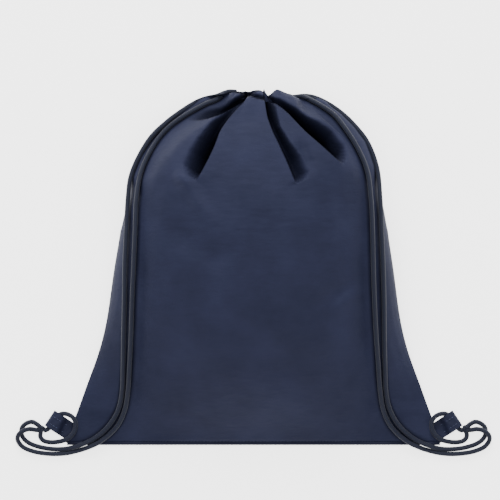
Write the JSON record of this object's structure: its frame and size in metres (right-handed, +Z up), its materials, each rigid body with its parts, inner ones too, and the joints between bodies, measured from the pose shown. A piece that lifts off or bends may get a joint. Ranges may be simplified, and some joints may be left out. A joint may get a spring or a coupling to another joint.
{
  "type": "drawstring backpack",
  "caption": "Flat cloth sack drawn shut by cords that double as shoulder straps and are tied to tabs at the lower corners.",
  "frame": {"origin": "On the table under the middle of the bag: half way across the bottom seam, half way from the bottom seam's lower edge to the hem's end, at the height of the underside", "axes": "+X across the bag to its right, +Y from the bottom seam towards the drawn neck, +Z up out of the front panel"},
  "size_m": [0.4282, 0.3326, 0.1039],
  "materials": {
    "panel_cloth": "woven, slight sheen",
    "hem_cloth": "woven, slight sheen",
    "seam_cloth": "woven, matte",
    "tab_cloth": "woven, matte",
    "cord": "braided, matte"
  },
  "bodies": {
    "bag": {"front_panel": "panel_cloth", "back_panel": "panel_cloth", "front_hem_casing": "hem_cloth", "back_hem_casing": "hem_cloth", "left_side_seam": "seam_cloth", "right_side_seam": "seam_cloth", "bottom_seam": "seam_cloth", "left_cord_in_hem": "cord", "right_cord_in_hem": "cord", "left_outer_strap": "cord", "left_inner_strap": "cord", "right_outer_strap": "cord", "right_inner_strap": "cord"},
    "left_corner": {"left_corner_front": "panel_cloth", "left_corner_back": "panel_cloth", "left_corner_seam": "seam_cloth", "left_tab": "tab_cloth", "left_knot": "cord", "left_cord_ring": "cord", "left_outer_loop": "cord", "left_inner_loop": "cord"},
    "right_corner": {"right_corner_front": "panel_cloth", "right_corner_back": "panel_cloth", "right_corner_seam": "seam_cloth", "right_tab": "tab_cloth", "right_knot": "cord", "right_cord_ring": "cord", "right_outer_loop": "cord", "right_inner_loop": "cord"}
  },
  "joints": [
    {"name": "left_corner_fold", "type": "hinge", "parent": "bag", "child": "left_corner", "pos_m": [-0.14724, -0.144, 0.0105], "axis": [-0.6063, 0.7953, 0], "range_deg": [0, 70]},
    {"name": "right_corner_fold", "type": "hinge", "parent": "bag", "child": "right_corner", "pos_m": [0.14724, -0.144, 0.0105], "axis": [-0.6063, -0.7953, 0], "range_deg": [0, 70]}
  ]
}
